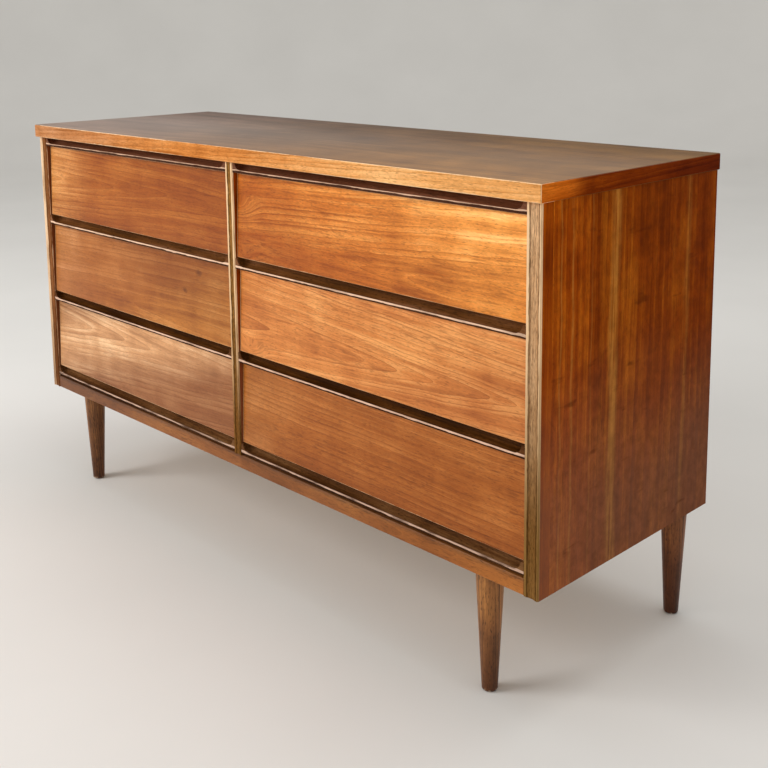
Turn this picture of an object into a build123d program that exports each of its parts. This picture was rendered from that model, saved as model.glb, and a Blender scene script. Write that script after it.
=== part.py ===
from build123d import *
import os

# Six-drawer dresser in walnut: a case of veneered boards with solid lippings, coved finger
# rails, leaning inset drawer fronts on dovetailed boxes, and four turned legs.
# Millimetres, +Z up. The origin is on the floor, under the centre of the top.
# Unless it says otherwise, a depth is measured back from the front plane of the case,
# and a height inside a drawer opening is measured up from the rail that the drawer runs on.

# Top
top_width = 1372.0
top_depth = 457.0
top_thickness = 26.0
top_lipping_depth = 28.0
top_side_overhang = 5.0
top_front_overhang = 8.0
top_corner_radius = 3.0
top_arris = 1.2

# Case
panel_thickness = 26.0
stile_thickness = 20.5
lipping_depth = 25.0
lipping_bead = 5.0
lipping_hollow = 1.8
lipping_rounding = 1.5
bottom_thickness = 16.0
back_thickness = 6.0
housing_depth = 8.0
fascia_height = 25.0
fascia_thickness = 19.0
fascia_setback = 1.0
fascia_arris = 1.0
shadow_gap = 4.0
glue_block_leg = 17.0
glue_block_length = 60.0
glue_blocks_per_wall = 3

# Rails and runners
rail_thickness = 19.0
rail_depth = 48.0
rail_setback = 1.0
rail_nose_radius = 1.2
rear_rail_depth = 30.0
tenon_length = 7.0
tenon_thickness = 9.0
tenon_width = 16.0
tenon_setback = 6.0
scoop_radius = 16.0
scoop_setback = 7.0
scoop_lift = 1.0
scoop_margin = 4.0
runner_width = 20.0
stop_width = 18.0
stop_depth = 15.0
stop_height = 20.0

# Drawers
front_height = 148.0
front_thickness = 18.0
front_setback = 5.0
front_lean = 5.0
front_gap = 1.5
front_arris = 0.8
finger_flat = 4.0
finger_rise = 9.0
box_side_thickness = 12.0
box_back_thickness = 12.0
box_back_drop = 8.0
box_back_inset = 10.0
box_back_housing = 5.0
box_height = 128.0
box_bottom_thickness = 5.0
box_bottom_lift = 16.0
groove_depth = 5.0
tail_count = 4
tail_end_margin = 5.0
tail_length = 12.0
tail_fill = 0.62
tail_flare = 2.5

# Legs
leg_height = 196.0
leg_top_radius = 22.0
leg_foot_radius = 12.0
leg_foot_easing = 3.0
front_leg_inset = 115.0
front_leg_setback = 35.0
rear_leg_inset = 41.0
rear_leg_setback = 30.0
plate_size = 56.0
plate_thickness = 2.5
plate_corner_cut = 6.0
bolt_radius = 4.0
bolt_in_leg = 42.0

# Clearances
slide_clearance = 0.3
joint_clearance = 0.1

COLUMNS = {"left": -1, "right": 1}
ROWS = ["top", "middle", "bottom"]
RAIL_LEVELS = ["top", "upper", "lower", "bottom"]

# Places that follow from the sizes above
front_y = -top_depth / 2 + top_front_overhang
case_width = top_width - 2 * top_side_overhang
case_depth = top_depth - top_front_overhang
opening_height = front_height + 2 * front_gap
level_pitch = rail_thickness + opening_height
case_height = fascia_height + shadow_gap + rail_thickness + len(ROWS) * level_pitch
top_underside = leg_height + case_height
inner_half = case_width / 2 - panel_thickness
stile_half = stile_thickness / 2
opening_width = inner_half - stile_half
column_centre = (inner_half + stile_half) / 2
inner_depth = case_depth - back_thickness
rail_back = rail_setback + rail_depth
tenon_depth_to = rail_back - tenon_setback
tenon_depth_from = tenon_depth_to - tenon_width
front_back = front_setback + front_lean + front_thickness
front_half = opening_width / 2 - front_gap
box_end = inner_depth - stop_depth - slide_clearance
box_back_to = box_end - box_back_inset
box_back_from = box_back_to - box_back_thickness
box_floor = slide_clearance
box_top = box_floor + box_height
box_bottom_under = box_floor + box_bottom_lift
box_bottom_top = box_bottom_under + box_bottom_thickness


def block(x_from, x_to, depth_from, depth_to, z_from, z_to):
    """A board between two planes in each direction."""
    centre = ((x_from + x_to) / 2, front_y + (depth_from + depth_to) / 2, (z_from + z_to) / 2)
    return Pos(*centre) * Box(abs(x_to - x_from), depth_to - depth_from, z_to - z_from)


def at_front(shape, x=0.0, z=0.0):
    """Moves a shape drawn with its depths from zero to the front plane of the case."""
    return Pos(x, front_y, z) * shape


def mirrored(shape):
    """The left-hand twin of a right-hand piece."""
    return mirror(shape, about=Plane.YZ)


def rail_underside(level):
    return top_underside - rail_thickness - level * level_pitch


def opening_floor(row):
    return rail_underside(row + 1) + rail_thickness


# ---- Top: one slab with rounded corners, cut where the solid front lipping meets the board ----

def make_top():
    plan = RectangleRounded(top_width, top_depth, top_corner_radius)
    slab = Pos(0, 0, top_underside) * extrude(plan, amount=top_thickness)
    rims = slab.edges().group_by(Axis.Z)[0] + slab.edges().group_by(Axis.Z)[-1]
    slab = chamfer(rims, top_arris)
    joint = Plane.XZ.offset(top_depth / 2 - top_lipping_depth)
    lipping = split(slab, bisect_by=joint, keep=Keep.TOP)
    board = split(slab, bisect_by=joint, keep=Keep.BOTTOM)
    return board, lipping


# ---- Case: sides, middle, lippings, bottom, fascia and back ----

def lipping_profile(half):
    """Plan section of an upright lipping: a bead at each edge and a shallow hollow between."""
    hollow_edge = half - lipping_bead
    with BuildSketch() as section:
        with BuildLine():
            Polyline((-half, lipping_rounding), (-half, lipping_depth),
                     (half, lipping_depth), (half, lipping_rounding))
            RadiusArc((half, lipping_rounding), (half - lipping_rounding, 0), -lipping_rounding)
            Line((half - lipping_rounding, 0), (hollow_edge, 0))
            ThreePointArc((hollow_edge, 0), (0, lipping_hollow), (-hollow_edge, 0))
            Line((-hollow_edge, 0), (lipping_rounding - half, 0))
            RadiusArc((lipping_rounding - half, 0), (-half, lipping_rounding), -lipping_rounding)
        make_face()
    return section.sketch


def make_lipping(x, half, z_from):
    upright = extrude(lipping_profile(half), amount=top_underside - z_from)
    return at_front(upright, x, z_from)


def mortises(wall_x):
    """Slots for the rail tenons, centred on one face of an upright board."""
    reach = tenon_length + joint_clearance
    slots = []
    for level in range(len(RAIL_LEVELS)):
        middle = rail_underside(level) + rail_thickness / 2
        half = tenon_thickness / 2 + joint_clearance
        slots.append(block(wall_x - reach, wall_x + reach,
                           tenon_depth_from - joint_clearance, tenon_depth_to + joint_clearance,
                           middle - half, middle + half))
    return slots


def make_side_panel():
    outer = case_width / 2
    panel = block(inner_half, outer, lipping_depth, case_depth, leg_height, top_underside)
    panel -= block(inner_half, inner_half + housing_depth, lipping_depth, case_depth,
                   leg_height, leg_height + bottom_thickness)
    panel -= block(inner_half, inner_half + housing_depth, inner_depth, case_depth,
                   leg_height, top_underside)
    return panel - mortises(inner_half)


def make_partition():
    board = block(-stile_half, stile_half, lipping_depth, inner_depth,
                  leg_height + bottom_thickness, top_underside)
    return board - mortises(stile_half) - mortises(-stile_half)


def make_bottom():
    half = inner_half + housing_depth
    board = block(-half, half, lipping_depth, inner_depth, leg_height, leg_height + bottom_thickness)
    nib = block(-inner_half, inner_half, fascia_setback + fascia_thickness, lipping_depth,
                leg_height, leg_height + bottom_thickness)
    return board + nib


def make_fascia():
    strip = block(-inner_half, inner_half, fascia_setback, fascia_setback + fascia_thickness,
                  leg_height, leg_height + fascia_height)
    face = strip.faces().sort_by(Axis.Y)[0]
    return chamfer(face.edges().filter_by(Axis.X), fascia_arris)


def make_back():
    half = inner_half + housing_depth
    return block(-half, half, inner_depth, case_depth, leg_height, top_underside)


def make_glue_blocks():
    """Triangular blocks in the corners under the top, beside every upright board."""
    span = inner_depth - rear_rail_depth - rail_back
    pitch = span / glue_blocks_per_wall
    corner = Polygon((0, 0), (glue_block_leg, 0), (0, -glue_block_leg), align=None)
    prism = extrude(Plane.XZ * corner, amount=glue_block_length / 2, both=True)
    blocks = []
    for index in range(glue_blocks_per_wall):
        depth = rail_back + pitch * (index + 0.5)
        for wall_x, away in ((-inner_half, 0), (inner_half, 180), (stile_half, 0), (-stile_half, 180)):
            turned = Rot(0, 0, away) * prism
            blocks.append(Pos(wall_x, front_y + depth, top_underside) * turned)
    return Compound(children=blocks)


# ---- Rails: tenoned into the uprights and scooped along the front for the fingers ----

def make_rail():
    """A front rail about its own middle, standing on its underside."""
    half = opening_width / 2
    body = Box(opening_width, rail_depth, rail_thickness, align=(Align.CENTER, Align.MIN, Align.MIN))
    body = Pos(0, rail_setback, 0) * body
    nose = body.edges().filter_by(Axis.X).group_by(Axis.Y)[0]
    body = fillet(nose.sort_by(Axis.Z)[0], rail_nose_radius)
    tenon = Box(2 * (half + tenon_length), tenon_width, tenon_thickness)
    tenon_y = (tenon_depth_from + tenon_depth_to) / 2
    body += Pos(0, tenon_y, rail_thickness / 2) * tenon
    return body - make_scoop(half)


def make_scoop(half):
    """The ball-ended cove that leaves a thin lip along the front of a rail."""
    run = half - scoop_margin - scoop_radius
    cove = Cylinder(scoop_radius, 2 * run, rotation=(0, 90, 0))
    for end in (-run, run):
        cove += Pos(end, 0, 0) * Sphere(scoop_radius, rotation=(90, 0, 0))
    return Pos(0, rail_setback + scoop_setback, rail_thickness + scoop_lift) * cove


def make_rear_rails():
    half = opening_width / 2
    rails = []
    for side in COLUMNS.values():
        x = side * column_centre
        for level in range(len(RAIL_LEVELS)):
            z = rail_underside(level)
            rails.append(block(x - half, x + half, inner_depth - rear_rail_depth, inner_depth,
                               z, z + rail_thickness))
    return Compound(children=rails)


def make_runners(side):
    """Two runners in each opening of a column, level with its rails."""
    runners = []
    for row in range(len(ROWS)):
        z = rail_underside(row + 1)
        for wall_x, inward in ((side * stile_half, side), (side * inner_half, -side)):
            runners.append(block(wall_x, wall_x + inward * runner_width, rail_back,
                                 inner_depth - rear_rail_depth, z, z + rail_thickness))
    return Compound(children=runners)


def make_stops():
    """Two blocks on each rear rail, where the closed drawer's sides come to rest."""
    stops = []
    for side in COLUMNS.values():
        for row in range(len(ROWS)):
            z = opening_floor(row)
            for wall_x, inward in ((side * stile_half, side), (side * inner_half, -side)):
                stops.append(block(wall_x, wall_x + inward * stop_width, inner_depth - stop_depth,
                                   inner_depth, z, z + stop_height))
    return Compound(children=stops)


# ---- Drawers: drawn about their own middle, heights from the rail below ----

def section_prism(points, half):
    """A prism along X from a section given as (depth, height) points."""
    return extrude(Plane.YZ * Polygon(*points, align=None), amount=half, both=True)


def drawer_block(x_from, x_to, depth_from, depth_to, z_from, z_to):
    return Pos(0, -front_y, 0) * block(x_from, x_to, depth_from, depth_to, z_from, z_to)


def tail_outlines(clearance):
    """Side views of the dovetails, from their necks at the back of the front to their tips in it."""
    low = box_bottom_top + tail_end_margin
    pitch = (box_top - tail_end_margin - low) / tail_count
    tip = front_back - tail_length - clearance
    narrow = pitch * tail_fill / 2 + clearance
    wide = narrow + tail_flare
    middles = [low + pitch * (index + 0.5) for index in range(tail_count)]
    return [[(front_back, z - narrow), (tip, z - wide), (tip, z + wide), (front_back, z + narrow)]
            for z in middles]


def tail_prisms(side, clearance):
    """The tails of one drawer side, or with a clearance the sockets that take them."""
    centre = front_half - box_side_thickness / 2
    half = box_side_thickness / 2 + clearance
    return [Pos(side * centre, 0, 0) * section_prism(outline, half) for outline in tail_outlines(clearance)]


def make_drawer_front():
    under = front_gap
    over = front_gap + front_height
    with BuildSketch(Plane.YZ) as section:
        with BuildLine():
            Polyline((front_setback + finger_flat, under), (front_setback, under),
                     (front_setback + front_lean, over), (front_back, over),
                     (front_back, under + finger_rise))
            reach = front_back - front_setback - finger_flat
            ThreePointArc((front_back, under + finger_rise),
                          (front_back - 0.7 * reach, under + 0.7 * finger_rise),
                          (front_setback + finger_flat, under))
        make_face()
    front = extrude(section.sketch, amount=front_half, both=True)
    front = chamfer(front.faces().sort_by(Axis.Y)[0].edges(), front_arris)
    groove = Box(2 * (front_half - box_side_thickness + groove_depth), groove_depth,
                 box_bottom_thickness + 2 * joint_clearance, align=(Align.CENTER, Align.MAX, Align.MIN))
    front -= Pos(0, front_back, box_bottom_under) * groove
    return front - tail_prisms(-1, joint_clearance) - tail_prisms(1, joint_clearance)


def make_drawer_side():
    """A right-hand side, with its tails, the groove for the bottom and the housing for the back."""
    inner = front_half - box_side_thickness
    board = drawer_block(inner, front_half, front_back, box_end, box_floor, box_top)
    board += tail_prisms(1, 0)
    board -= drawer_block(inner, inner + groove_depth, front_back, box_end,
                          box_bottom_under, box_bottom_top + 2 * joint_clearance)
    return board - drawer_block(inner, inner + box_back_housing + joint_clearance,
                                box_back_from - joint_clearance, box_back_to + joint_clearance,
                                box_bottom_top, box_top - box_back_drop + joint_clearance)


def make_drawer_back():
    half = front_half - box_side_thickness + box_back_housing
    return drawer_block(-half, half, box_back_from, box_back_to, box_bottom_top, box_top - box_back_drop)


def make_drawer_bottom():
    half = front_half - box_side_thickness + groove_depth - slide_clearance
    return drawer_block(-half, half, front_back - groove_depth + slide_clearance, box_back_to,
                        box_bottom_under, box_bottom_top)


# ---- Legs, with the plates and bolts that hold them to the bottom of the case ----

def leg_pair(inset, y):
    """The middles of a left and a right leg in plan."""
    x = case_width / 2 - inset
    return [(-x, y), (x, y)]


front_leg_places = leg_pair(front_leg_inset, front_y + front_leg_setback)
rear_leg_places = leg_pair(rear_leg_inset, front_y + case_depth - rear_leg_setback)
leg_places = front_leg_places + rear_leg_places


def at_each(places, shape, z=0.0):
    return Compound(children=[Pos(x, y, z) * shape for x, y in places])


def make_leg():
    """A turned and tapered leg, eased round the foot and bored for its bolt."""
    height = leg_height - plate_thickness
    profile = Polygon((0, 0), (leg_foot_radius, 0), (leg_top_radius, height), (0, height), align=None)
    foot_corner = profile.vertices().sort_by(Axis.Y)[:2].sort_by(Axis.X)[-1]
    leg = revolve(Plane.XZ * chamfer(foot_corner, leg_foot_easing), axis=Axis.Z)
    bore = Cylinder(bolt_radius + joint_clearance, bolt_in_leg, align=(Align.CENTER, Align.CENTER, Align.MAX))
    return leg - Pos(0, 0, height) * bore


def make_plates():
    plan = Rectangle(plate_size, plate_size)
    plan = chamfer(plan.vertices(), plate_corner_cut)
    plan -= Circle(bolt_radius + joint_clearance)
    plate = extrude(plan, amount=plate_thickness)
    return at_each(leg_places, plate, leg_height - plate_thickness)


def make_bolts():
    bolt = Cylinder(bolt_radius, bolt_in_leg + plate_thickness, align=(Align.CENTER, Align.CENTER, Align.MAX))
    return at_each(leg_places, bolt, leg_height)


# ---- Assembly ----

parts = {}
parts["top_board"], parts["top_front_lipping"] = make_top()
parts["right_side_panel"] = make_side_panel()
parts["left_side_panel"] = mirrored(parts["right_side_panel"])
lipping_half = panel_thickness / 2
lipping_x = inner_half + lipping_half
parts["right_front_lipping"] = make_lipping(lipping_x, lipping_half, leg_height)
parts["left_front_lipping"] = make_lipping(-lipping_x, lipping_half, leg_height)
parts["centre_stile"] = make_lipping(0, stile_half, leg_height + fascia_height)
parts["centre_partition"] = make_partition()
parts["bottom_board"] = make_bottom()
parts["bottom_fascia"] = make_fascia()
parts["back_panel"] = make_back()
parts["top_glue_blocks"] = make_glue_blocks()
parts["rear_rails"] = make_rear_rails()
parts["drawer_stops"] = make_stops()

rail = make_rail()
drawer_pieces = {
    "front": make_drawer_front(),
    "left_side": mirrored(make_drawer_side()),
    "right_side": make_drawer_side(),
    "back": make_drawer_back(),
    "bottom": make_drawer_bottom(),
}
for column, side in COLUMNS.items():
    parts[f"{column}_drawer_runners"] = make_runners(side)
    for level, level_name in enumerate(RAIL_LEVELS):
        placed = at_front(rail, side * column_centre, rail_underside(level))
        parts[f"{column}_{level_name}_rail"] = placed
    for row, row_name in enumerate(ROWS):
        for piece_name, piece in drawer_pieces.items():
            placed = at_front(piece, side * column_centre, opening_floor(row))
            parts[f"{column}_{row_name}_drawer_{piece_name}"] = placed

leg = make_leg()
parts["front_legs"] = at_each(front_leg_places, leg)
parts["rear_legs"] = at_each(rear_leg_places, leg)
parts["leg_plates"] = make_plates()
parts["leg_bolts"] = make_bolts()

os.makedirs("parts", exist_ok=True)
for name, shape in parts.items():
    export_step(shape, f"parts/{name}.step")
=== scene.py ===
import math

import bmesh
import bpy
from mathutils import Matrix, Vector


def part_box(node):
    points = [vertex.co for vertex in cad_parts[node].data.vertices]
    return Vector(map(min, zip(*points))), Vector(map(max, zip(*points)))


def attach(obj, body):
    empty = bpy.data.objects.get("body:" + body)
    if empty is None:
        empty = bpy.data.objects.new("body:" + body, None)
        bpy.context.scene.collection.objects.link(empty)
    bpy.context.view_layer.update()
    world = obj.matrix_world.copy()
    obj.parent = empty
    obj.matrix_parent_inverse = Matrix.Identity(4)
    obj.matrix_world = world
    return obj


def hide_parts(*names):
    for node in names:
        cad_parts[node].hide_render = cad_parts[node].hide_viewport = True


# The looks of a six-drawer walnut dresser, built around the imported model. Lengths are in metres.

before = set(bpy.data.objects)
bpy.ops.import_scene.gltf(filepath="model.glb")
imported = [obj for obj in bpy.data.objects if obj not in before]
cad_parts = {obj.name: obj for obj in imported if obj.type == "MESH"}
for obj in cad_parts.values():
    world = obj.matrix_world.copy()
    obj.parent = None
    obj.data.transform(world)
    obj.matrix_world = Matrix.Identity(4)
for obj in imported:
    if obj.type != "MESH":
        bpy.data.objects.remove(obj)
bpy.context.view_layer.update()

COLUMNS = ("left", "right")
RAIL_LEVELS = ("top", "upper", "lower", "bottom")

MM = 0.001

# Rails: a ball-ended cove behind a thin lip, with a tenon at each end
RAIL_THICKNESS = 19 * MM
RAIL_DEPTH = 48 * MM
TENON_LENGTH = 7 * MM
TENON_WIDTH = 16 * MM
TENON_THICKNESS = 9 * MM
TENON_SETBACK = 6 * MM
COVE_RADIUS = 16 * MM
COVE_SETBACK = 7 * MM
COVE_LIFT = 1 * MM
COVE_MARGIN = 4 * MM
NOSE_RADIUS = 1.2 * MM
NOSE_STEPS = 4
LIP_EASING = 0.7 * MM
COVE_STEPS = 20
BALL_STEPS = 12

# Legs
LEG_TOP_RADIUS = 22 * MM
LEG_FOOT_RADIUS = 12 * MM
FOOT_ROUNDING = 3.5 * MM
FOOT_STEPS = 6
LEG_SEGMENTS = 72
BOLT_BORE_RADIUS = 4.1 * MM
BOLT_BORE_DEPTH = 42 * MM
LEG_TOP_EASING = 0.8 * MM

# Drawer fronts lean back by this much from their lower to their upper edge
FRONT_LEAN = 5 * MM

# The front face of a rail's lip, up to its crest
CREST_HEIGHT = 5.6 * MM

# Vertices of a remade piece closer than this are one
MERGE_DISTANCE = 0.002 * MM
SHARP_ANGLE = math.radians(40)


def linear(code):
    """A colour written as six hexadecimal digits, made linear for a shader."""
    channels = [int(code[i:i + 2], 16) / 255 for i in (0, 2, 4)]
    return tuple(c / 12.92 if c <= 0.04045 else ((c + 0.055) / 1.055) ** 2.4 for c in channels) + (1.0,)


# ---- Writing node trees ----

FLOAT, COLOUR, VECTOR = "NodeSocketFloat", "NodeSocketColor", "NodeSocketVector"


class Graph:
    """A node tree with short ways to add nodes and join them."""

    def __init__(self, tree):
        self.tree = tree

    def feed(self, socket, value):
        if isinstance(value, bpy.types.NodeSocket):
            self.tree.links.new(value, socket)
        else:
            socket.default_value = value

    def add(self, kind, inputs=None, **settings):
        node = self.tree.nodes.new(kind)
        for name, value in settings.items():
            setattr(node, name, value)
        for key, value in (inputs or {}).items():
            self.feed(node.inputs[key], value)
        return node

    def math(self, operation, *values, clamp=False):
        node = self.add("ShaderNodeMath", dict(enumerate(values)), operation=operation, use_clamp=clamp)
        return node.outputs[0]

    def vector(self, operation, *values):
        node = self.add("ShaderNodeVectorMath", dict(enumerate(values)), operation=operation)
        return node.outputs[0]

    def measure(self, operation, *values):
        """A vector operation that gives one number, such as a length or a dot product."""
        node = self.add("ShaderNodeVectorMath", dict(enumerate(values)), operation=operation)
        return node.outputs["Value"]

    def scaled(self, vector, factor):
        node = self.add("ShaderNodeVectorMath", {0: vector, "Scale": factor}, operation="SCALE")
        return node.outputs[0]

    def split(self, vector):
        return self.add("ShaderNodeSeparateXYZ", {0: vector}).outputs

    def join(self, x, y, z):
        return self.add("ShaderNodeCombineXYZ", {0: x, 1: y, 2: z}).outputs[0]

    def stretched(self, parts, along, across):
        """A place in a board, scaled along its grain and across it: the larger, the finer the figure."""
        return self.join(self.math("MULTIPLY", parts[0], along), self.math("MULTIPLY", parts[1], across),
                         self.math("MULTIPLY", parts[2], across))

    def noise(self, vector, scale=1.0, detail=2.0, roughness=0.5, seed=0.0):
        node = self.add("ShaderNodeTexNoise", {"Vector": vector, "W": seed, "Scale": scale,
                                               "Detail": detail, "Roughness": roughness},
                        noise_dimensions="4D")
        return node.outputs["Fac"]

    def swing(self, vector, scale=1.0, detail=2.0, roughness=0.5, seed=0.0):
        """Noise about zero."""
        return self.math("SUBTRACT", self.noise(vector, scale, detail, roughness, seed), 0.5)

    def spread(self, value, low, high, to_low=0.0, to_high=1.0):
        """A smooth step that takes low to to_low and high to to_high."""
        node = self.add("ShaderNodeMapRange", {"Value": value, "From Min": low, "From Max": high,
                                               "To Min": to_low, "To Max": to_high},
                        interpolation_type="SMOOTHSTEP")
        return node.outputs["Result"]

    def ridge(self, value, middle, half):
        """One at the middle, falling smoothly to zero on both sides."""
        away = self.math("ABSOLUTE", self.math("SUBTRACT", value, middle))
        return self.spread(away, 0.0, half, 1.0, 0.0)

    def blend(self, amount, under, over, mode="MIX"):
        node = self.add("ShaderNodeMix", data_type="RGBA", blend_type=mode)
        self.feed(node.inputs["Factor"], amount)
        self.feed(node.inputs[6], under)
        self.feed(node.inputs[7], over)
        return node.outputs[2]

    def placed(self, tree, inputs):
        node = self.tree.nodes.new("ShaderNodeGroup")
        node.node_tree = tree
        for key, value in inputs.items():
            self.feed(node.inputs[key], value)
        return node.outputs


def shader_group(name, inputs, outputs):
    """An empty shader group with its sockets, and the ends to build between."""
    tree = bpy.data.node_groups.new(name, "ShaderNodeTree")
    for label, value in inputs.items():
        kind = FLOAT
        if isinstance(value, tuple):
            kind = COLOUR if len(value) == 4 else VECTOR
        tree.interface.new_socket(label, in_out="INPUT", socket_type=kind).default_value = value
    for label, kind in outputs.items():
        tree.interface.new_socket(label, in_out="OUTPUT", socket_type=kind)
    graph = Graph(tree)
    return graph, graph.add("NodeGroupInput").outputs, graph.add("NodeGroupOutput").inputs


# ---- Shader groups that the finishes share ----

def build_wood_figure():
    """Growth rings, streaks, fibres and pores of a board. Board is (along, across, through) in metres."""
    graph, given, result = shader_group(
        "wood_figure",
        {"Board": (0.0, 0.0, 0.0), "Heart Across": 0.0, "Heart Width": 0.05, "Climb": 0.04,
         "Ring Spacing": 0.009, "Wander": 0.03, "Knots": 0.0, "Seed": 0.0},
        {"Tone": FLOAT, "Ring": FLOAT, "Fibre": FLOAT, "Pore": FLOAT})
    parts = graph.split(given["Board"])
    along, across, through = parts
    seed = given["Seed"]

    def other(step):
        return graph.math("ADD", seed, step)

    # The grain bends with the log, and round pin knots
    swell = graph.swing(graph.stretched(parts, 1.7, 4.6), detail=1.5, seed=other(7.3))
    ripple = graph.swing(graph.stretched(parts, 11.0, 36.0), detail=2.5, roughness=0.6, seed=seed)
    cells = {"Vector": graph.stretched(parts, 3.6, 8.0), "W": seed, "Scale": 1.0}
    knot = graph.add("ShaderNodeTexVoronoi", cells, voronoi_dimensions="4D").outputs
    chance = graph.split(knot["Color"])[0]
    bulge = graph.math("MULTIPLY", graph.spread(knot["Distance"], 0.0, 0.26, 1.0, 0.0),
                       graph.spread(chance, 0.35, 0.6, 0.0, given["Knots"]))
    bent = graph.math("MULTIPLY_ADD", swell, given["Wander"], across)
    bent = graph.math("MULTIPLY_ADD", ripple, graph.math("MULTIPLY", given["Wander"], 0.2), bent)
    bent = graph.math("ADD", bent, bulge)
    fine = (along, bent, through)

    # Rings cross the face as nested flames that point along the climb
    aside = graph.math("SUBTRACT", bent, given["Heart Across"])
    square = graph.math("MULTIPLY", aside, aside)
    reach = graph.math("MULTIPLY_ADD", given["Heart Width"], given["Heart Width"], square)
    radius = graph.math("ADD", graph.math("SQRT", reach), through)
    radius = graph.math("MULTIPLY_ADD", along, given["Climb"], radius)
    turns = graph.math("DIVIDE", radius, given["Ring Spacing"])
    lean_years = graph.swing(graph.join(graph.math("MULTIPLY", turns, 0.7), 0.0, 0.0), detail=1.0, seed=seed)
    turns = graph.math("MULTIPLY_ADD", lean_years, 2.2, turns)
    year = graph.math("FRACT", turns)
    # Distances on the face to the line that ends this year, and from the line that began it
    slope = graph.math("SQRT", graph.math("MULTIPLY_ADD", given["Climb"], given["Climb"],
                                          graph.math("DIVIDE", square, reach)))
    stride = graph.math("DIVIDE", given["Ring Spacing"], graph.math("MAXIMUM", slope, 0.05))
    before = graph.math("MULTIPLY", graph.math("SUBTRACT", 1.0, year), stride)
    after = graph.math("MULTIPLY", year, stride)
    age = graph.join(graph.math("MULTIPLY", turns, 0.41), graph.math("MULTIPLY", along, 1.6), 0.0)
    strength = graph.spread(graph.noise(age, detail=1.0, seed=seed), 0.34, 0.60)
    line = graph.spread(before, 0.0006, 0.0022, 1.0, 0.0)
    graph.feed(result["Ring"], graph.math("MULTIPLY", line, strength))
    glow = graph.math("MULTIPLY", graph.spread(after, 0.0004, 0.011, 1.0, 0.0), strength)

    # Dark and pale wood: bands of years, streaks, hairs, curls and clouds, paler just past each line
    bands = graph.join(graph.math("MULTIPLY", turns, 0.55), graph.math("MULTIPLY", along, 1.1), 0.0)
    band = graph.swing(bands, detail=2.5, roughness=0.6, seed=other(3.1))
    streak = graph.swing(graph.stretched(fine, 3.0, 60.0), detail=4.0, roughness=0.65, seed=seed)
    hair = graph.swing(graph.stretched(fine, 7.0, 260.0), detail=2.0, roughness=0.6, seed=other(9.4))
    cloud = graph.swing(graph.stretched(parts, 5.5, 11.0), detail=2.0, seed=other(11.9))
    curl = graph.swing(graph.stretched(parts, 22.0, 15.0), detail=2.0, seed=other(14.2))
    tone = graph.math("MULTIPLY_ADD", band, 0.75, 0.53)
    tone = graph.math("MULTIPLY_ADD", streak, 0.75, tone)
    tone = graph.math("MULTIPLY_ADD", hair, 0.5, tone)
    tone = graph.math("MULTIPLY_ADD", curl, 0.5, tone)
    tone = graph.math("MULTIPLY_ADD", glow, -0.25, tone)
    graph.feed(result["Tone"], graph.math("MULTIPLY_ADD", cloud, 0.9, tone, clamp=True))

    speckle = graph.swing(graph.stretched(fine, 170.0, 420.0), detail=2.0, roughness=0.6, seed=other(4.4))
    fibre = graph.noise(graph.stretched(fine, 16.0, 640.0), detail=2.0, roughness=0.65, seed=seed)
    graph.feed(result["Fibre"], graph.math("MULTIPLY_ADD", speckle, 0.9, fibre))
    dash = graph.noise(graph.stretched(fine, 120.0, 760.0), detail=1.0, roughness=0.4, seed=other(5.7))
    fleck = graph.noise(graph.stretched(fine, 46.0, 320.0), detail=2.0, roughness=0.55, seed=other(6.8))
    patch = graph.noise(graph.stretched(fine, 4.5, 18.0), detail=1.5, seed=other(8.1))
    fleck = graph.math("MULTIPLY", graph.spread(fleck, 0.53, 0.66), graph.spread(patch, 0.40, 0.62))
    graph.feed(result["Pore"], graph.math("MAXIMUM", graph.spread(dash, 0.58, 0.70), fleck))
    return graph.tree


def build_stained_grain():
    """Colours a figured board from its pale, middle and dark tones."""
    graph, given, result = shader_group(
        "stained_grain",
        {"Tone": 0.5, "Ring": 0.0, "Fibre": 0.5, "Pore": 0.0, "Pale": (1.0, 1.0, 1.0, 1.0),
         "Middle": (0.5, 0.5, 0.5, 1.0), "Dark": (0.1, 0.1, 0.1, 1.0), "Ring Strength": 0.5,
         "Fibre Strength": 0.3, "Pore Strength": 0.5},
        {"Colour": COLOUR, "Height": FLOAT})
    lower = graph.spread(given["Tone"], 0.08, 0.55)
    upper = graph.spread(given["Tone"], 0.45, 0.92)
    colour = graph.blend(lower, given["Pale"], given["Middle"])
    colour = graph.blend(upper, colour, given["Dark"])
    ring = graph.math("MULTIPLY", given["Ring"], given["Ring Strength"])
    colour = graph.blend(ring, colour, graph.scaled(given["Dark"], 0.8))
    fibre = graph.math("SUBTRACT", given["Fibre"], 0.5)
    fibre = graph.math("MULTIPLY_ADD", fibre, graph.math("MULTIPLY", given["Fibre Strength"], 2.0), 1.0)
    colour = graph.scaled(colour, fibre)
    pore = graph.math("MULTIPLY", given["Pore"], given["Pore Strength"])
    graph.feed(result["Colour"], graph.blend(pore, colour, graph.scaled(given["Dark"], 0.55)))
    height = graph.math("MULTIPLY_ADD", given["Fibre"], 0.35, 0.65)
    graph.feed(result["Height"], graph.math("SUBTRACT", height, graph.math("MULTIPLY", given["Pore"], 0.8)))
    return graph.tree


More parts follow.
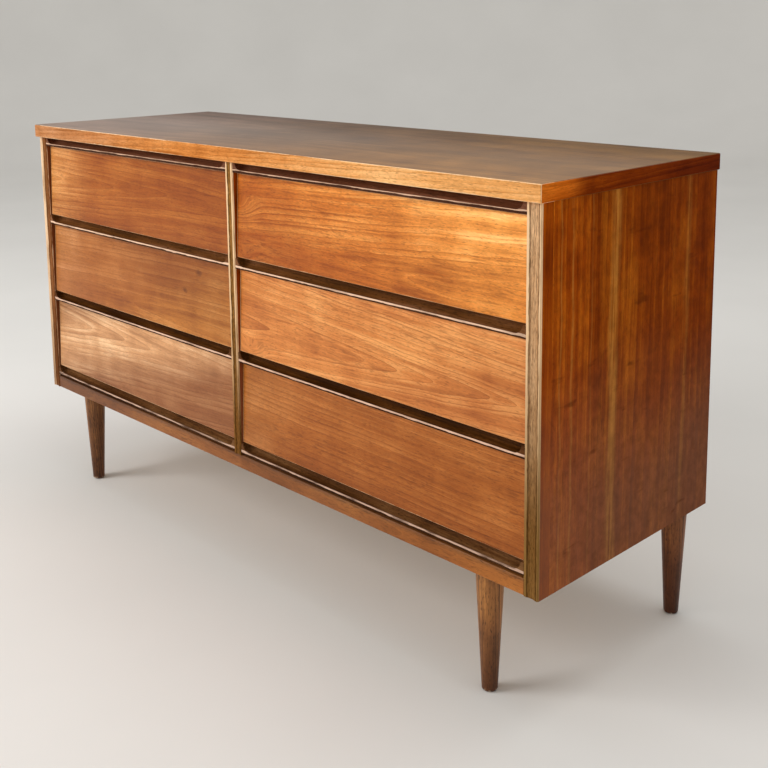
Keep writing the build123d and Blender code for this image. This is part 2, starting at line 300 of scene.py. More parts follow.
def build_worn_arris():
    """A mask along the arrises of a board that fills the box from Low to High, broken up as wear is."""
    graph, given, result = shader_group(
        "worn_arris",
        {"Place": (0.0, 0.0, 0.0), "Low": (0.0, 0.0, 0.0), "High": (1.0, 1.0, 1.0), "Width": 0.002,
         "Seed": 0.0},
        {"Wear": FLOAT})
    below = graph.vector("ABSOLUTE", graph.vector("SUBTRACT", given["Place"], given["Low"]))
    above = graph.vector("ABSOLUTE", graph.vector("SUBTRACT", given["High"], given["Place"]))
    x, y, z = graph.split(graph.vector("MINIMUM", below, above))
    edge = graph.math("MAXIMUM", graph.math("MINIMUM", x, y),
                      graph.math("MINIMUM", graph.math("MAXIMUM", x, y), z))
    patches = graph.noise(given["Place"], 7.0, 2.0, 0.6, given["Seed"])
    nicks = graph.noise(given["Place"], 90.0, 3.0, 0.65, given["Seed"])
    width = graph.math("MULTIPLY", given["Width"], graph.spread(patches, 0.3, 0.7, 0.5, 1.3))
    width = graph.math("MULTIPLY", width, graph.spread(nicks, 0.3, 0.75, 0.75, 1.5))
    graph.feed(result["Wear"], graph.spread(graph.math("DIVIDE", edge, width), 0.4, 1.0, 1.0, 0.0))
    return graph.tree


def build_handled_lacquer():
    """The uneven sheen and faint marks of old lacquer."""
    graph, given, result = shader_group(
        "handled_lacquer", {"Place": (0.0, 0.0, 0.0), "Roughness": 0.35, "Uneven": 0.08, "Seed": 0.0},
        {"Roughness": FLOAT, "Height": FLOAT})
    smears = graph.noise(given["Place"], 3.5, 4.0, 0.62, given["Seed"])
    specks = graph.noise(given["Place"], 240.0, 2.0, 0.5, given["Seed"])
    rough = graph.math("MULTIPLY_ADD", graph.math("SUBTRACT", smears, 0.5),
                       graph.math("MULTIPLY", given["Uneven"], 2.0), given["Roughness"])
    rough = graph.math("MULTIPLY_ADD", graph.math("SUBTRACT", specks, 0.5), given["Uneven"], rough)
    graph.feed(result["Roughness"], rough)
    graph.feed(result["Height"], graph.math("MULTIPLY_ADD", smears, 0.5, graph.math("MULTIPLY", specks, 0.1)))
    return graph.tree


def build_moulded_face():
    """Masks of an upright: its front, the rubbed bead at each edge, the quirks beside them, its height."""
    graph, given, result = shader_group(
        "moulded_face",
        {"Place": (0.0, 0.0, 0.0), "Low": (0.0, 0.0, 0.0), "High": (1.0, 1.0, 1.0), "Left Bead": 0.005,
         "Right Bead": 0.005, "Left Quirk": 0.002, "Right Quirk": 0.002, "Seed": 0.0},
        {"Front": FLOAT, "Bead": FLOAT, "Quirk": FLOAT, "Rise": FLOAT})
    from_low = graph.split(graph.vector("SUBTRACT", given["Place"], given["Low"]))
    from_high = graph.split(graph.vector("SUBTRACT", given["High"], given["Place"]))
    height = graph.split(graph.vector("SUBTRACT", given["High"], given["Low"]))[2]
    stretch = graph.vector("MULTIPLY", given["Place"], (240.0, 240.0, 26.0))
    fray = graph.math("MULTIPLY", graph.swing(stretch, detail=3.0, roughness=0.65, seed=given["Seed"]), 0.005)
    front = graph.spread(graph.math("MULTIPLY_ADD", fray, 0.2, from_low[1]), 0.0022, 0.0032, 1.0, 0.0)
    graph.feed(result["Front"], front)
    masks = {"Bead": [], "Quirk": []}
    for side, away in (("Left", from_low[0]), ("Right", from_high[0])):
        past = graph.math("SUBTRACT", graph.math("ADD", away, fray), given[f"{side} Bead"])
        masks["Bead"].append(graph.spread(past, -0.0004, 0.0006, 1.0, 0.0))
        beyond = graph.math("SUBTRACT", past, given[f"{side} Quirk"])
        masks["Quirk"].append(graph.math("MULTIPLY", graph.spread(past, -0.0004, 0.0006),
                                         graph.spread(beyond, -0.0004, 0.0010, 1.0, 0.0)))
    for label, pair in masks.items():
        graph.feed(result[label], graph.math("MULTIPLY", front, graph.math("MAXIMUM", *pair)))
    graph.feed(result["Rise"], graph.math("DIVIDE", from_low[2], height))
    return graph.tree


WOOD_FIGURE = build_wood_figure()
STAINED_GRAIN = build_stained_grain()
WORN_ARRIS = build_worn_arris()
HANDLED_LACQUER = build_handled_lacquer()
MOULDED_FACE = build_moulded_face()


# ---- Finishes ----

AXES = {"x": 0, "y": 1, "z": 2}
GRAIN_RELIEF = 0.05 * MM
# How strongly a rubbed arris takes on its worn colour
ARRIS_WEAR = 0.8
# A pin knot is longer along the grain, so distances along it count for less
PIN_SQUASH = (0.6, 0.0, 1.0)
PIN_COLOUR = "4A1E06"
# Satin lacquer on the veneers and uprights. They reflect little, so that they keep their colour at a
# glancing angle.
SATIN = 0.42
FAINT = 0.01


def start_material(name, roughness, specular):
    """A material with its own shader and the place of the surface in the shared frame."""
    material = bpy.data.materials.new(name)
    material.use_nodes = True
    graph = Graph(material.node_tree)
    shader = material.node_tree.nodes["Principled BSDF"]
    shader.inputs["Roughness"].default_value = roughness
    shader.inputs["Specular IOR Level"].default_value = specular
    place = graph.add("ShaderNodeTexCoord").outputs["Object"]
    return material, graph, shader, place


def board_place(graph, place, centre, grain):
    """The place measured (along, across, through) a board whose grain is named in that order."""
    parts = graph.split(graph.vector("SUBTRACT", place, tuple(centre)))
    return graph.join(*[parts[AXES[axis]] for axis in grain])


def grow(graph, board, tones, seed=0.0, heart=(0.0, 0.03), climb=0.04, spacing=0.009, wander=0.03,
         knots=0.0, ring=0.3, fibre=0.10, pore=0.35):
    """The colour and relief of a board. Tones are its pale, middle and dark colours."""
    figure = graph.placed(WOOD_FIGURE, {
        "Board": board, "Heart Across": heart[0], "Heart Width": heart[1], "Climb": climb,
        "Ring Spacing": spacing, "Wander": wander, "Knots": knots, "Seed": seed})
    stained = graph.placed(STAINED_GRAIN, {
        "Tone": figure["Tone"], "Ring": figure["Ring"], "Fibre": figure["Fibre"], "Pore": figure["Pore"],
        "Pale": linear(tones[0]), "Middle": linear(tones[1]), "Dark": linear(tones[2]),
        "Ring Strength": ring, "Fibre Strength": fibre, "Pore Strength": pore})
    return stained["Colour"], stained["Height"]


def drifted(graph, colour, place, drifts, seed):
    """Washes a colour with tints, which in this script paint light and shade: each drift is (direction,
    start, end, tint), the distances in metres.
    """
    for direction, start, end, tint in drifts:
        where = graph.measure("DOT_PRODUCT", place, direction)
        loose = graph.math("MULTIPLY_ADD", graph.swing(place, 5.0, seed=seed), 0.35 * abs(end - start), where)
        colour = graph.blend(graph.spread(loose, start, end), colour, tint + (1.0,), "MULTIPLY")
    return colour


def lacquer(graph, shader, place, colour, height, roughness, seed=0.0):
    """Joins a wood's colour and relief to the shader under an uneven skin of lacquer."""
    coat = graph.placed(HANDLED_LACQUER, {"Place": place, "Roughness": roughness, "Seed": seed})
    graph.feed(shader.inputs["Base Color"], colour)
    graph.feed(shader.inputs["Roughness"], coat["Roughness"])
    raised = graph.math("MULTIPLY_ADD", coat["Height"], 0.6, height)
    bump = graph.add("ShaderNodeBump", {"Strength": 1.0, "Distance": GRAIN_RELIEF, "Height": raised})
    graph.feed(shader.inputs["Normal"], bump.outputs["Normal"])


def board_colour(graph, place, box, grain, tones, seed=0.0, worn=None, wear_width=1.2 * MM, lean=0.0,
                 drifts=(), pins=(), **figure):
    """The colour and relief of a board with rubbed arrises. Worn is their colour, if they show."""
    low, high = box
    colour, height = grow(graph, board_place(graph, place, (low + high) / 2, grain), tones, seed, **figure)
    colour = drifted(graph, colour, place, drifts, seed)
    for x, z, radius in pins:
        offset = graph.vector("MULTIPLY", graph.vector("SUBTRACT", place, (x, 0.0, z)), PIN_SQUASH)
        away = graph.measure("LENGTH", offset)
        away = graph.math("MULTIPLY_ADD", graph.swing(place, 120.0, seed=seed), radius, away)
        colour = graph.blend(graph.spread(away, 0.1 * radius, radius, 0.62, 0.0), colour, linear(PIN_COLOUR))
    if worn:
        upright = place
        if lean:
            x, y, z = graph.split(place)
            rise = graph.math("DIVIDE", graph.math("SUBTRACT", z, low.z), high.z - low.z)
            upright = graph.join(x, graph.math("SUBTRACT", y, graph.math("MULTIPLY", rise, lean)), z)
        arris = graph.placed(WORN_ARRIS, {"Place": upright, "Low": tuple(low), "High": tuple(high),
                                          "Width": wear_width, "Seed": seed})
        colour = graph.blend(graph.math("MULTIPLY", arris["Wear"], ARRIS_WEAR), colour, linear(worn))
    return colour, height


def board_finish(name, box, grain, tones, roughness=0.36, specular=0.4, seed=0.0, **options):
    """A lacquered board."""
    material, graph, shader, place = start_material(name, roughness, specular)
    colour, height = board_colour(graph, place, box, grain, tones, seed, **options)
    lacquer(graph, shader, place, colour, height, roughness, seed=seed)
    return material


def finish(node, material):
    """Gives a carried-over CAD node its material."""
    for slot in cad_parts[node].material_slots:
        slot.material = material


# Every drawer front has its own tones, partly its own leaf of veneer and partly painted light and shade,
# some fronts brighter and some darker. The tints washed over each front are painted sheen and highlights,
# and painted shade towards its lower edge; they run by (across, up) from the
# lower left corner, in metres, and its pins are dark pin knots: (across, up, radius).
DRAWER_FRONTS = {
    "left_top": dict(
        tones=("B96C2B", "A1551A", "833A0C"), seed=2.0, heart=(0.010, 0.012), climb=0.05, wander=0.03,
        knots=0.024, ring=0.3, fibre=0.3, pore=0.35,
        sheen_and_shade=[((1, 0), 0.20, 0.0, (1.5, 2.15, 4.2)), ((0, 1), 0.05, 0.0, (0.92, 0.9, 0.92))]),
    "left_middle": dict(
        tones=("BA7439", "A45D22", "864413"), seed=5.0, heart=(-0.05, 0.020), climb=-0.03, wander=0.03,
        knots=0.018, ring=0.25, fibre=0.22, pore=0.35, pins=[(0.540, 0.121, 0.009), (0.494, 0.082, 0.007)],
        sheen_and_shade=[((1, 0), 0.16, 0.0, (1.45, 1.9, 3.2)), ((0.4, -1), 0.06, 0.19, (1.35, 1.6, 1.7)),
                ((0.4, 1), 0.18, 0.30, (0.8, 0.76, 0.72)), ((-1, -1), -0.26, -0.03, (0.78, 0.68, 0.62))]),
    "left_bottom": dict(
        tones=("9A643C", "844D28", "6B3A1B"), seed=8.0, heart=(0.035, 0.012), climb=0.08, wander=0.03,
        knots=0.024, ring=0.3, fibre=0.22, pore=0.25,
        sheen_and_shade=[((-0.225, 0.974), -0.055, 0.050, (2.7, 4.1, 6.1)),
                ((-0.225, 0.974), 0.065, 0.13, (0.66, 0.6, 0.55)), ((1, 0), 0.10, 0.36, (1.18, 1.22, 1.25))]),
    "right_top": dict(
        tones=("F39F4C", "D4792A", "9F4E11"), seed=11.0, heart=(-0.045, 0.010), climb=-0.07, wander=0.035,
        knots=0.026, ring=0.4, fibre=0.34, pore=0.45,
        sheen_and_shade=[((1, 0), 0.28, 0.62, (1.45, 1.9, 2.9)), ((0, 1), 0.12, 0.02, (0.82, 0.74, 0.62)),
                ((1, 0.6), 0.36, 0.10, (0.7, 0.58, 0.44)), ((0, 1), 0.120, 0.140, (1.15, 1.22, 1.3))]),
    "right_middle": dict(
        tones=("EFA45D", "D4823F", "A55824"), seed=14.0, heart=(-0.022, 0.010), climb=0.085, wander=0.03,
        knots=0.022, spacing=0.0065, ring=0.4, fibre=0.22, pore=0.4,
        sheen_and_shade=[((0.35, -1), 0.05, 0.17, (0.82, 0.76, 0.74)), ((0, 1), 0.13, 0.146, (1.2, 1.25, 1.4)),
                ((-1, 1), 0.02, 0.09, (0.86, 0.78, 0.66))]),
    "right_bottom": dict(
        tones=("BD7233", "A45A1E", "88430F"), seed=17.0, heart=(-0.12, 0.050), climb=0.02, wander=0.03,
        ring=0.3, fibre=0.3, pore=0.45,
        sheen_and_shade=[((1, 0), 0.2, 0.0, (1.05, 1.2, 1.5)), ((0, 1), 0.06, 0.0, (0.84, 0.8, 0.8)),
                ((0, 1), 0.135, 0.146, (1.2, 1.25, 1.4))]),
}
BOX_TONES = ("D9B68A", "CDA474", "B78C5C")
PLY_TONES = ("CFA77A", "C09868", "AE8656")
CARCASS_TONES = ("C8A070", "B08858", "8C6840")


def dress_drawers():
    """Veneered fronts with rubbed arrises and painted sheen and shade, on boxes of pale hardwood with thin
    ply bottoms.
    """
    for drawer, leaf in DRAWER_FRONTS.items():
        node = f"{drawer}_drawer_front"
        low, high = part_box(node)
        seed = leaf["seed"]
        options = {key: value for key, value in leaf.items() if key not in ("sheen_and_shade", "pins")}
        pins = [(low.x + across, low.z + up, radius) for across, up, radius in leaf.get("pins", ())]
        # Painted sheen and shade, placed from the lower left corner of each front
        drifts = []
        for (across, up), start, end, tint in leaf["sheen_and_shade"]:
            corner = across * low.x + up * low.z
            drifts.append(((across, 0.0, up), corner + start, corner + end, tint))
        finish(node, board_finish(f"{drawer}_drawer_veneer", (low, high), "xzy", worn="E8B888",
                                  lean=FRONT_LEAN, specular=0.2, drifts=drifts, pins=pins, **options))
        for piece, grain in (("left_side", "yzx"), ("right_side", "yzx"), ("back", "xzy")):
            node = f"{drawer}_drawer_{piece}"
            finish(node, board_finish(f"{drawer}_box_{piece}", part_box(node), grain, BOX_TONES, seed=seed,
                                      roughness=0.5, specular=0.3))
        node = f"{drawer}_drawer_bottom"
        finish(node, board_finish(f"{drawer}_box_bottom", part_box(node), "xyz", PLY_TONES, seed=seed + 1,
                                  roughness=0.6, specular=0.3))


ALONG_X, ALONG_Y, ALONG_Z = (1.0, 0.0, 0.0), (0.0, 1.0, 0.0), (0.0, 0.0, 1.0)
SIDE_TONES = ("B05C10", "8E3E04", "6A2801")
# The slab's ends and rear edge keep their colour this far inwards
EDGE_SKIN = 0.6 * MM


def side_figure(graph, place, box):
    """Quarter-cut veneer in upright ribbons, with a painted highlight towards the front and the top front,
    and painted shade towards the rear and low at the rear.
    """
    board = board_place(graph, place, (box[0] + box[1]) / 2, "zyx")
    colour, height = grow(graph, board, SIDE_TONES, seed=27.0, heart=(0.7, 0.3), climb=0.01, spacing=0.016,
                          wander=0.02, ring=0.15, fibre=0.14, pore=0.35)
    # Painted light: brighter to the front and at the top front corner; painted shade to the rear and low at
    # the rear
    drifts = [(ALONG_Y, -0.04, -0.16, (1.2, 1.12, 1.0)), (ALONG_Y, 0.0, 0.2, (0.85, 0.76, 0.6)),
              ((0.0, -1.0, 1.0), box[1].z + 0.12, box[1].z + 0.21, (1.5, 1.7, 1.6)),
              ((0.0, 1.0, -1.0), -0.36, -0.12, (0.86, 0.89, 0.96))]
    return drifted(graph, colour, place, drifts, 27.0), height


def greyed_low(graph, colour, place):
    """The colour of a side, duller and greyer towards its foot."""
    rise = graph.math("MULTIPLY_ADD", graph.swing(place, 5.0, seed=27.0), 0.16, graph.split(place)[2])
    return graph.blend(graph.spread(rise, 0.58, 0.26, 0.0, 0.5), colour, linear("7E5C48"))


def dress_top():
    """The slab: one veneer over board and lipping, a solid front edge, and darker ends and rear edge.

    A coat of polish lies on its upper face, fullest at the left and at the front. Its colour carries a
    painted grey sheen to the left, warmer painted light to the right, painted shade to the rear and painted
    light to the front; the front edge has painted highlights, and each end a painted highlight at its front.
    """
    low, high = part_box("top_board")
    for node in ("top_board", "top_front_lipping"):
        material, graph, shader, place = start_material(f"{node}_walnut", SATIN, FAINT)
        x, y, z = graph.split(place)
        # Painted sheen: greyer to the left, warmer to the right, shaded to the rear and lit to the front
        colour, height = board_colour(
            graph, place, (low, high), "xyz", ("866140", "6E4E32", "553822"), seed=21.0, heart=(0.03, 0.04),
            climb=0.05, wander=0.08, drifts=[
                (ALONG_X, 0.0, -0.55, (1.18, 1.38, 2.25)), (ALONG_X, -0.05, 0.5, (1.36, 1.24, 0.68)),
                (ALONG_Y, 0.0, 0.2, (0.72, 0.75, 0.78)), (ALONG_Y, -0.06, -0.2, (1.36, 1.34, 1.3))])
        if node == "top_front_lipping":
            # The front edge: painted highlights to the right and at the far left end, greyer between
            edge, _ = board_colour(
                graph, place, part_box(node), "xzy", ("E29956", "D28441", "A3591F"), seed=23.0,
                heart=(0.3, 0.1), fibre=0.35, pore=0.4, worn="FFDCB0", wear_width=1.5 * MM,
                drifts=[(ALONG_X, 0.0, 0.5, (1.25, 1.62, 2.2)), (ALONG_X, -0.1, -0.6, (0.78, 0.88, 1.4)),
                        (ALONG_X, -0.5, -0.68, (1.2, 1.35, 1.6))])
            colour = graph.blend(graph.math("LESS_THAN", z, high.z - 0.3 * MM), colour, edge)
        # The ends: a painted highlight at the front, painted shade towards the rear
        end_face, _ = board_colour(
            graph, place, (low, high), "yzx", ("9A4406", "7E3002", "621F00"), seed=25.0, heart=(0.3, 0.1),
            fibre=0.25, drifts=[(ALONG_Y, -0.12, -0.185, (3.0, 4.4, 11.0)),
                                (ALONG_Y, -0.06, 0.2, (0.72, 0.6, 0.6))])
        ends = graph.math("GREATER_THAN", graph.math("ABSOLUTE", x), high.x - EDGE_SKIN)
        rear_edge, _ = board_colour(
            graph, place, (low, high), "xzy", ("A06438", "7E4A24", "5A3014"), seed=26.0, heart=(0.3, 0.1))
        rear = graph.math("GREATER_THAN", y, high.y - EDGE_SKIN)
        colour = graph.blend(rear, graph.blend(ends, colour, end_face), rear_edge)
        lacquer(graph, shader, place, colour, height, SATIN, seed=21.0)
        shader.inputs["Coat Roughness"].default_value = 0.34
        coat = graph.math("MULTIPLY", graph.spread(x, -0.45, 0.35, 0.9, 0.55),
                          graph.spread(y, -0.05, 0.2, 1.0, 0.3))
        coat = graph.math("MULTIPLY", graph.math("GREATER_THAN", z, high.z - 1.0 * MM), coat)
        graph.feed(shader.inputs["Coat Weight"], coat)
        finish(node, material)


# The streaks of the side veneer: how far back from the front edge, half their width, strength, tone
STREAKS = ((0.108, 0.022, 0.45, "5A1E00"), (0.145, 0.017, 0.75, "C88638"), (0.341, 0.012, 0.3, "C88638"),
           (0.020, 0.0035, 0.4, "C88638"), (0.046, 0.0045, 0.45, "C88638"), (0.090, 0.003, 0.25, "C88638"))


def dress_sides():
    """Ribbon veneer with pale streaks and short curls across the grain, greyer low down."""
    for side in COLUMNS:
        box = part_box(f"{side}_side_panel")
        material, graph, shader, place = start_material(f"{side}_side_veneer", SATIN, FAINT)
        colour, height = side_figure(graph, place, box)
        depth = graph.math("SUBTRACT", graph.split(place)[1], box[0].y)
        waver = graph.math("MULTIPLY_ADD", graph.swing(place, 9.0, 3.0), 0.016, depth)
        grain = graph.noise(graph.vector("MULTIPLY", place, (1.0, 260.0, 9.0)), detail=2.0, seed=28.0)
        grain = graph.spread(grain, 0.25, 0.6)
        for middle, half, strength, tone in STREAKS:
            streak = graph.math("MULTIPLY", graph.ridge(waver, middle, half),
                                graph.math("MULTIPLY", grain, strength))
            colour = graph.blend(streak, colour, linear(tone))
        colour = greyed_low(graph, colour, place)
        mottle = graph.noise(graph.vector("MULTIPLY", place, (1.0, 70.0, 60.0)), detail=3.0,
                             roughness=0.65, seed=30.0)
        colour = graph.scaled(colour, graph.spread(mottle, 0.25, 0.75, 0.82, 1.18))
        curls = graph.noise(graph.vector("MULTIPLY", place, (1.0, 17.0, 52.0)), detail=2.5,
                            roughness=0.6, seed=29.0)
        colour = graph.blend(graph.spread(curls, 0.62, 0.76, 0.0, 0.5), colour, linear("4A1A02"))
        lacquer(graph, shader, place, colour, height, SATIN, seed=27.0)
        finish(f"{side}_side_panel", material)


# Bead and quirk widths are given in millimetres, from the left edge and from the right edge of each
# face. Lower down, the beads keep low_wear of their rub, and the face takes on low_tint.
UPRIGHTS = {
    "left_front_lipping": dict(
        face=("9A6238", "80502C", "643A1C"), bead="F0CCA4", beads=(9.0, 0.1), quirks=(1.5, 0.0),
        low_tint=(0.8, 0.74, 0.7), low_wear=0.55, speckle=0.25),
    "centre_stile": dict(
        face=("A2743C", "886030", "6C4A20"), bead="F6D0A2", beads=(5.2, 5.0), quirks=(1.5, 1.5),
        low_tint=(0.66, 0.58, 0.5), low_wear=0.0, speckle=0.4),
    "right_front_lipping": dict(
        face=("DEB387", "C4966A", "986C46"), bead="F2CCA0", beads=(5.0, 3.0), quirks=(2.5, 2.0),
        low_tint=(0.30, 0.235, 0.115), low_wear=0.85, speckle=0.2),
}


def dress_uprights():
    """Moulded lippings: rubbed pale on their beads, with painted shade in the quirks beside them, and dark on
    their flanks.
    """
    for seed, (node, looks) in enumerate(UPRIGHTS.items(), start=31):
        low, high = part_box(node)
        material, graph, shader, place = start_material(f"{node}_walnut", SATIN, FAINT)
        board = board_place(graph, place, (low + high) / 2, "zxy")
        colour, height = side_figure(graph, place, (low, high))
        colour = greyed_low(graph, colour, place)
        if node == "left_front_lipping":
            inner = graph.math("GREATER_THAN", graph.split(place)[0], (low.x + high.x) / 2)
            colour = graph.blend(inner, colour, graph.blend(0.85, colour, linear("6E4024")))
        face, _ = grow(graph, board, looks["face"], seed=seed + 0.5, heart=(0.2, 0.02), spacing=0.005,
                       fibre=0.28, pore=0.6)
        mould = graph.placed(MOULDED_FACE, {
            "Place": place, "Low": tuple(low), "High": tuple(high), "Seed": seed,
            "Left Bead": looks["beads"][0] * MM, "Right Bead": looks["beads"][1] * MM,
            "Left Quirk": looks["quirks"][0] * MM, "Right Quirk": looks["quirks"][1] * MM})
        # Painted shade in the quirks beside the beads
        face = graph.blend(graph.math("MULTIPLY", mould["Quirk"], 0.55), face, linear("5A3818"))
        speckle = graph.noise(graph.vector("MULTIPLY", place, (520.0, 520.0, 110.0)), detail=2.0,
                              roughness=0.7, seed=seed)
        darkest, palest = 1.0 - looks["speckle"], 1.0 + 0.7 * looks["speckle"]
        face = graph.scaled(face, graph.spread(speckle, 0.3, 0.7, darkest, palest))
        colour = graph.blend(mould["Front"], colour, face)
        rub = graph.noise(graph.vector("MULTIPLY", place, (90.0, 90.0, 16.0)), detail=3.0, roughness=0.6,
                          seed=seed)
        rub = graph.math("MULTIPLY", graph.spread(rub, 0.28, 0.58, 0.5, 1.0),
                         graph.spread(mould["Rise"], 0.06, 0.42, looks["low_wear"], 1.0))
        colour = graph.blend(graph.math("MULTIPLY", mould["Bead"], rub), colour, linear(looks["bead"]))
        # The face darker towards the bottom
        darker_low = graph.math("MULTIPLY", graph.spread(mould["Rise"], 0.78, 0.12), mould["Front"])
        colour = graph.blend(darker_low, colour, looks["low_tint"] + (1.0,), "MULTIPLY")
        lacquer(graph, shader, place, colour, height, SATIN, seed=seed)
        finish(node, material)


def dress_fascia():
    """The board under the lowest rails, with a painted highlight to the right, and duller to the left and
    along its upper edge under the rails as painted shade.
    """
    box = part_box("bottom_fascia")
    finish("bottom_fascia", board_finish(
        "fascia_walnut", box, "xzy", ("A76A33", "8F5528", "713E17"), seed=33.0, specular=0.2, fibre=0.2,
        pore=0.6,
        # Painted shade to the left, a painted highlight to the right, painted shade along the upper edge
        drifts=[(ALONG_X, -0.15, -0.6, (0.62, 0.62, 0.7)), (ALONG_X, 0.1, 0.6, (1.3, 1.25, 0.95)),
                (ALONG_Z, box[1].z - 9 * MM, box[1].z - 1 * MM, (0.66, 0.72, 0.95))]))


def dress_inside():
    """Unfinished carcass wood and the ply of the back."""
    for side in COLUMNS:
        node = f"{side}_drawer_runners"
        finish(node, board_finish(f"{side}_runner_wood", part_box(node), "yxz", CARCASS_TONES, seed=41.0,
                                  roughness=0.6, specular=0.2))
    for node, grain in (("centre_partition", "yzx"), ("bottom_board", "xyz"), ("rear_rails", "xzy"),
                        ("drawer_stops", "yxz"), ("top_glue_blocks", "yxz")):
        finish(node, board_finish(f"{node}_wood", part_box(node), grain, CARCASS_TONES, seed=43.0,
                                  roughness=0.6, specular=0.2))
    finish("back_panel", board_finish("back_panel_ply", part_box("back_panel"), "xzy",
                                      ("B48C64", "A67C56", "936A46"), seed=47.0, roughness=0.6,
                                      specular=0.2))


# ---- Remade pieces ----

def new_piece(name, form, material, slot, body, *nodes):
    """Makes a mesh a piece that rides on a body and stands for some CAD nodes."""
    bmesh.ops.remove_doubles(form, verts=form.verts, dist=MERGE_DISTANCE)
    bmesh.ops.recalc_face_normals(form, faces=form.faces)
    mesh = bpy.data.meshes.new(name)
    form.to_mesh(mesh)
    form.free()
    mesh.shade_smooth()
    mesh.set_sharp_from_angle(angle=SHARP_ANGLE)
    mesh.materials.append(material)
    piece = bpy.data.objects.new(name, mesh)
    bpy.context.scene.collection.objects.link(piece)
    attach(piece, body)
    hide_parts(*nodes)


def bridge(form, first, second):
    """Quads between two loops of as many vertices."""
    count = len(first)
    for index in range(count):
        follow = (index + 1) % count
        form.faces.new((first[index], first[follow], second[follow], second[index]))


def rail_section(away, run):
    """Section of a rail across its length, as (depth, height) points, at a distance from its middle."""
    radius = COVE_RADIUS
    if away > run:
        radius = math.sqrt(max(0.0, COVE_RADIUS ** 2 - (away - run) ** 2))
    centre = (COVE_SETBACK, RAIL_THICKNESS + COVE_LIFT)
    half = math.sqrt(max(0.0, radius ** 2 - COVE_LIFT ** 2))
    radius = max(radius, COVE_LIFT)
    start = math.atan2(-COVE_LIFT, -half) % (2 * math.pi)
    stop = math.atan2(-COVE_LIFT, half) % (2 * math.pi)
    crest = RAIL_THICKNESS
    if half > COVE_SETBACK:
        start = math.pi + math.acos(COVE_SETBACK / radius)
        crest = centre[1] - math.sqrt(radius ** 2 - COVE_SETBACK ** 2)
    ease = min(LIP_EASING, 0.4 * half)
    points = [(RAIL_DEPTH, 0.0)]
    for step in range(NOSE_STEPS + 1):
        angle = math.radians(90 * step / NOSE_STEPS)
        points.append((NOSE_RADIUS * (1 - math.sin(angle)), NOSE_RADIUS * (1 - math.cos(angle))))
    turn = ease / radius if half > COVE_SETBACK else 0.0
    first = (centre[0] + radius * math.cos(start + turn), centre[1] + radius * math.sin(start + turn))
    points.append((0.0, crest - LIP_EASING))
    if half > COVE_SETBACK:
        points.append((0.25 * first[0], 0.5 * crest + 0.25 * (crest - LIP_EASING) + 0.25 * first[1]))
        points.append(first)
    else:
        points.append((0.3 * LIP_EASING, crest - 0.3 * LIP_EASING))
        points.append((min(LIP_EASING, COVE_SETBACK - half), crest))
    end_turn = ease / radius
    for step in range(COVE_STEPS + 1):
        angle = start + turn + (stop - end_turn - start - turn) * step / COVE_STEPS
        points.append((centre[0] + radius * math.cos(angle), centre[1] + radius * math.sin(angle)))
    rim = COVE_SETBACK + half
    points.append((rim + 0.25 * ease, RAIL_THICKNESS - 0.25 * ease))
    points.append((rim + ease, RAIL_THICKNESS))
    points.append((RAIL_DEPTH, RAIL_THICKNESS))
    return points


def rail_stations(half):
    """Distances from a rail's middle at which its section is drawn, and the run of the straight cove."""
    run = half - COVE_MARGIN - COVE_RADIUS
    breakout = math.acos(math.hypot(COVE_SETBACK, COVE_LIFT) / COVE_RADIUS)
    close = math.acos(COVE_LIFT / COVE_RADIUS)
    angles = [close * step / BALL_STEPS for step in range(BALL_STEPS + 1)] + [breakout]
    stations = [run + COVE_RADIUS * math.sin(angle) for angle in sorted(angles)] + [half]
    return stations, run


def coved_rail(node, material):
    """A finger rail: a ball-ended cove behind a thin eased lip, with a tenon at each end."""
    low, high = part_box(node)
    middle = (low.x + high.x) / 2
    half = (high.x - low.x) / 2 - TENON_LENGTH
    away, run = rail_stations(half)
    form = bmesh.new()
    before = None
    for x in [-distance for distance in reversed(away)] + away:
        section = rail_section(abs(x), run)
        ring = [form.verts.new((middle + x, low.y + depth, low.z + height)) for depth, height in section]
        if before:
            bridge(form, before, ring)
        before = ring
    bmesh.ops.remove_doubles(form, verts=form.verts, dist=MERGE_DISTANCE)
    back = high.y - TENON_SETBACK
    front = back - TENON_WIDTH
    under = (low.z + high.z - TENON_THICKNESS) / 2
    over = under + TENON_THICKNESS
    corners = ((front, under), (back, under), (back, over), (front, over))
    rims = [edge for edge in form.edges if edge.is_boundary]
    for end in (-1, 1):
        shoulder = [form.verts.new((middle + end * half, y, z)) for y, z in corners]
        tip = [form.verts.new((middle + end * (half + TENON_LENGTH), y, z)) for y, z in corners]
        bridge(form, shoulder, tip)
        form.faces.new(tip)
        mouth = [edge for edge in form.edges if edge.is_boundary and all(v in shoulder for v in edge.verts)]
        rim = [edge for edge in rims if (edge.verts[0].co.x - middle) * end > 0]
        bmesh.ops.triangle_fill(form, use_beauty=True, edges=rim + mouth)
    new_piece(f"{node}_coved", form, material, "walnut_solid", "case", node)


# The rails' colours, from the recess under the top down to the lowest rail: the rubbed crest of the
# lip, how much of it stays where it is least rubbed, and the pale, middle and dark wood of the cove,
# its darkness partly the wood and partly painted shade
LIP_COLOURS = {"top": "DDB698", "upper": "EFC8AA", "lower": "E4BCA2", "bottom": "CDAA94"}
LIP_KEPT = {"top": 0.5, "upper": 0.6, "lower": 0.55, "bottom": 0.1}
COVE_TONES = {"top": ("9A6A50", "7A4C34", "583420"), "upper": ("A06C48", "744620", "4A2A0C"),
              "lower": ("784A24", "502C0C", "341A06"), "bottom": ("94683F", "684020", "3E2008")}


